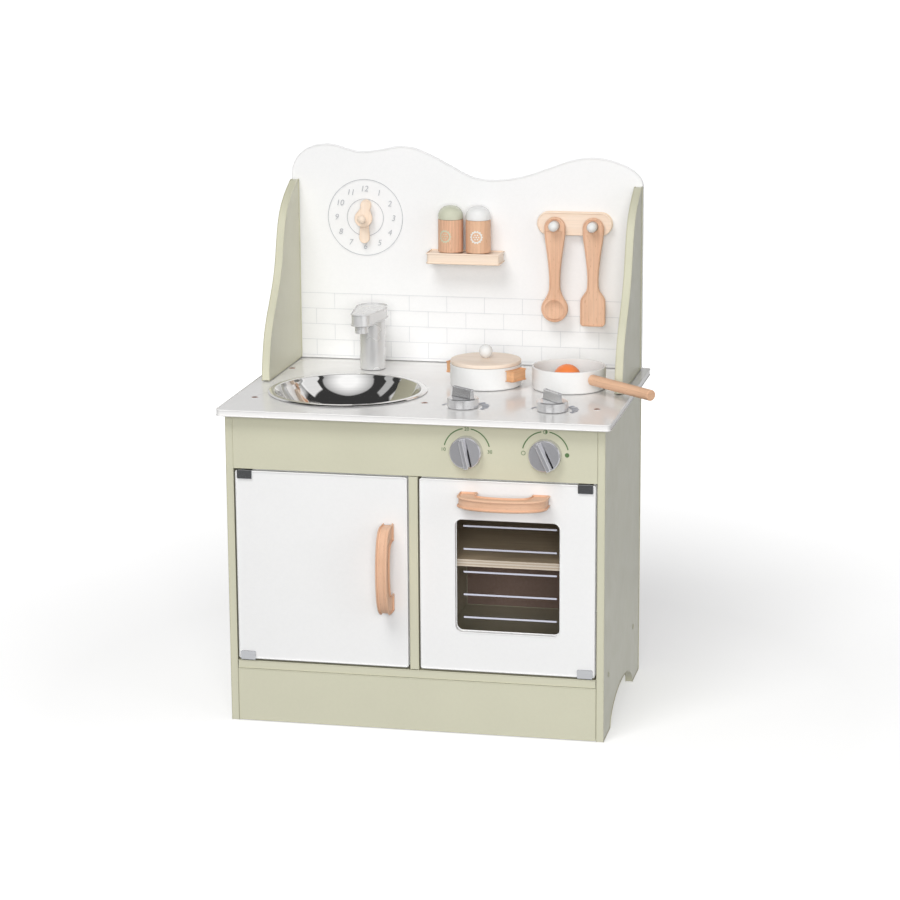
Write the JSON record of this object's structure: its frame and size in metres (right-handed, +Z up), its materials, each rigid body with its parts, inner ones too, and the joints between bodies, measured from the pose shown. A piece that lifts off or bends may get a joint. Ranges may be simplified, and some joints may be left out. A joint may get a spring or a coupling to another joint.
{
  "type": "toy kitchen",
  "caption": "Wooden play kitchen: two-door cabinet, sink and tap, stove knobs, splashback with clock, spice shelf and utensil rail, pot and pan.",
  "frame": {"origin": "on the floor, under the middle of the whole object's box", "axes": "+Z up, the front with the doors faces -Y, +X to the right seen from the front"},
  "size_m": [0.5594, 0.399, 0.7279],
  "materials": {
    "sage_paint": "satin sage-green paint on board",
    "white_paint": "satin white paint on board or wood",
    "white_plastic": "moulded",
    "beech": "bare beech, fine oil finish",
    "pale_wood": "pale bare wood, clear lacquer",
    "polished_steel": "mirror polished",
    "silver_paint": "metallic silver, satin",
    "tinted_acrylic": "smoked, clear",
    "hardboard": "smooth brown hardboard",
    "plywood": "raw plywood",
    "copper_screw": "copper-coloured screw",
    "orange_paint": "satin orange paint"
  },
  "bodies": {
    "kitchen_frame": {"side_panel_left": "sage_paint", "side_panel_right": "sage_paint", "bottom_board": "sage_paint", "plinth_board": "sage_paint", "fascia_board": "sage_paint", "center_divider": "sage_paint", "wing_left": "sage_paint", "wing_right": "sage_paint", "countertop": "white_paint", "splashback_panel": "white_paint", "rail_peg_left": "white_paint", "rail_peg_right": "white_paint", "cupboard_catch": "white_plastic", "oven_catch": "white_plastic", "clock_peg": "pale_wood", "spice_shelf": "pale_wood", "utensil_rail": "pale_wood", "sink_bowl": "polished_steel", "faucet_column": "silver_paint", "back_board": "hardboard", "oven_shelf": "plywood", "cleat_left": "plywood", "cleat_right": "plywood", "countertop_screw_1": "copper_screw", "countertop_screw_2": "copper_screw", "countertop_screw_3": "copper_screw", "countertop_screw_4": "copper_screw", "countertop_screw_5": "copper_screw"},
    "cupboard_door_unit": {"cupboard_door": "white_paint", "cupboard_handle": "beech", "cupboard_hinge_top": "polished_steel", "cupboard_hinge_bottom": "polished_steel"},
    "oven_door_unit": {"oven_door": "white_paint", "oven_handle": "beech", "oven_window": "tinted_acrylic", "oven_hinge_top": "polished_steel", "oven_hinge_bottom": "polished_steel"},
    "left_stove_knob": {"stove_knob_left": "silver_paint"},
    "right_stove_knob": {"stove_knob_right": "silver_paint"},
    "left_oven_dial": {"oven_dial_left": "silver_paint"},
    "right_oven_dial": {"oven_dial_right": "silver_paint"},
    "tap_spout": {"faucet_head": "silver_paint"},
    "hour_hand": {"clock_hour_hand": "pale_wood"},
    "minute_hand": {"clock_minute_hand": "pale_wood"},
    "pot": {"pot_body": "white_paint", "pot_handle_left": "beech", "pot_handle_right": "beech"},
    "lid": {"pot_lid": "pale_wood", "lid_knob": "white_paint"},
    "pan": {"pan_body": "white_paint", "pan_handle": "beech"},
    "fried_egg": {"egg_white": "white_paint", "egg_yolk": "orange_paint"},
    "pepper_shaker": {"pepper_body": "beech", "pepper_cap": "sage_paint"},
    "salt_shaker": {"salt_body": "beech", "salt_cap": "white_paint"},
    "hanging_spoon": {"spoon": "beech"},
    "hanging_spatula": {"spatula": "beech"}
  },
  "joints": [
    {"name": "cupboard_door_hinge", "type": "hinge", "parent": "kitchen_frame", "child": "cupboard_door_unit", "pos_m": [-0.24917, -0.1475, 0.2145], "axis": [0, 0, -1], "range_deg": [0, 110]},
    {"name": "oven_door_hinge", "type": "hinge", "parent": "kitchen_frame", "child": "oven_door_unit", "pos_m": [0.20783, -0.1475, 0.2145], "axis": [0, 0, 1], "range_deg": [0, 110]},
    {"name": "left_stove_knob_turn", "type": "hinge", "parent": "kitchen_frame", "child": "left_stove_knob", "pos_m": [0.03383, -0.096, 0.432], "axis": [0, 0, 1], "continuous": true},
    {"name": "right_stove_knob_turn", "type": "hinge", "parent": "kitchen_frame", "child": "right_stove_knob", "pos_m": [0.15133, -0.096, 0.432], "axis": [0, 0, 1], "continuous": true},
    {"name": "left_oven_dial_turn", "type": "hinge", "parent": "kitchen_frame", "child": "left_oven_dial", "pos_m": [0.05033, -0.1595, 0.381], "axis": [0, -1, 0], "continuous": true},
    {"name": "right_oven_dial_turn", "type": "hinge", "parent": "kitchen_frame", "child": "right_oven_dial", "pos_m": [0.15283, -0.1595, 0.381], "axis": [0, -1, 0], "continuous": true},
    {"name": "tap_swivel", "type": "hinge", "parent": "kitchen_frame", "child": "tap_spout", "pos_m": [-0.13967, 0.1275, 0.505], "axis": [0, 0, 1], "range_deg": [-90, 90]},
    {"name": "hour_hand_turn", "type": "hinge", "parent": "kitchen_frame", "child": "hour_hand", "pos_m": [-0.16257, 0.1775, 0.6268], "axis": [0, -1, 0], "continuous": true},
    {"name": "minute_hand_turn", "type": "hinge", "parent": "kitchen_frame", "child": "minute_hand", "pos_m": [-0.16257, 0.1829, 0.6268], "axis": [0, -1, 0], "continuous": true},
    {"name": "pot_lift", "type": "slide", "parent": "kitchen_frame", "child": "pot", "axis": [0, 0, 1], "range_m": [0, 0.1]},
    {"name": "lid_lift", "type": "slide", "parent": "pot", "child": "lid", "axis": [0, 0, 1], "range_m": [0, 0.06]},
    {"name": "pan_lift", "type": "slide", "parent": "kitchen_frame", "child": "pan", "axis": [0, 0, 1], "range_m": [0, 0.1]},
    {"name": "egg_lift", "type": "slide", "parent": "pan", "child": "fried_egg", "axis": [0, 0, 1], "range_m": [0, 0.06]},
    {"name": "pepper_lift", "type": "slide", "parent": "kitchen_frame", "child": "pepper_shaker", "axis": [0, 0, 1], "range_m": [0, 0.07]},
    {"name": "salt_lift", "type": "slide", "parent": "kitchen_frame", "child": "salt_shaker", "axis": [0, 0, 1], "range_m": [0, 0.07]},
    {"name": "spoon_pull_off", "type": "slide", "parent": "kitchen_frame", "child": "hanging_spoon", "axis": [0, -1, 0], "range_m": [0, 0.03]},
    {"name": "spatula_pull_off", "type": "slide", "parent": "kitchen_frame", "child": "hanging_spatula", "axis": [0, -1, 0], "range_m": [0, 0.03]}
  ]
}
